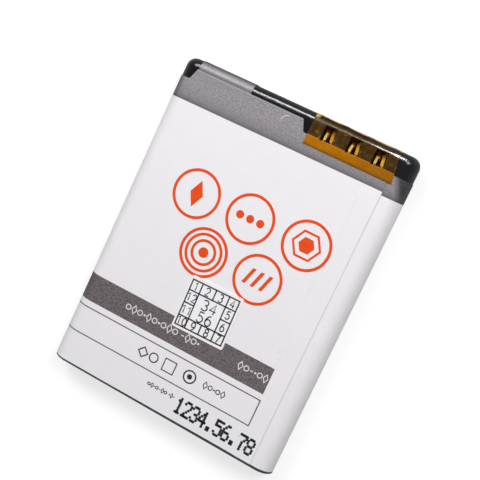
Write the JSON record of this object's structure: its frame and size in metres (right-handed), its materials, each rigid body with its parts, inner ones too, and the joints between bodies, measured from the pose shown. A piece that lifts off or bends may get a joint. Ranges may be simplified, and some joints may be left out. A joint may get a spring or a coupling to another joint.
{
  "type": "mobile phone battery",
  "caption": "Slim rectangular phone battery pack in a wrapped label film, with half-round sides and a moulded black end cap that holds forked contacts under an amber film.",
  "frame": {"origin": "middle of the flat back face, which the pack rests on", "axes": "+X across the pack towards the contacts' corner, +Y along it to the contact end, +Z out of the printed face"},
  "size_m": [0.0344, 0.0454, 0.0044],
  "materials": {
    "black_plastic": "moulded black plastic, satin",
    "adhesive_sheet": "double-sided adhesive sheet",
    "can_metal": "drawn aluminium",
    "gasket_plastic": "natural plastic bush",
    "nickel_plating": "bright nickel",
    "insulator_sheet": "pale insulating sheet",
    "gold_plating": "gold plated strip",
    "board_laminate": "green lacquered laminate",
    "chip_resin": "black moulded resin",
    "chip_ceramic": "dark ceramic with tinned ends",
    "capacitor_ceramic": "tan ceramic with tinned ends",
    "fuse_case": "dark sealed case",
    "label_film": "printed label film, satin",
    "sticker_film": "printed sticker film, satin",
    "amber_film": "clear amber film, glossy"
  },
  "bodies": {
    "root": {"bottom_cap": "black_plastic", "bottom_adhesive": "adhesive_sheet", "cell_can": "can_metal", "cell_lid": "can_metal", "lid_gasket": "gasket_plastic", "terminal_rivet": "nickel_plating", "fill_plug": "nickel_plating", "lid_insulator": "insulator_sheet", "top_cap": "black_plastic", "contact_negative": "gold_plating", "contact_id": "gold_plating", "contact_positive": "gold_plating", "circuit_board": "board_laminate", "board_tab_negative": "nickel_plating", "board_tab_positive": "nickel_plating", "protection_chip": "chip_resin", "switch_chip": "chip_resin", "supply_resistor": "chip_ceramic", "sense_resistor": "chip_ceramic", "id_resistor": "chip_ceramic", "bypass_capacitor": "capacitor_ceramic", "negative_lead": "nickel_plating", "positive_lead": "nickel_plating", "thermal_fuse": "fuse_case", "fuse_lead": "nickel_plating", "wrap_label": "label_film", "date_sticker": "sticker_film", "contact_film": "amber_film"}
  },
  "joints": []
}
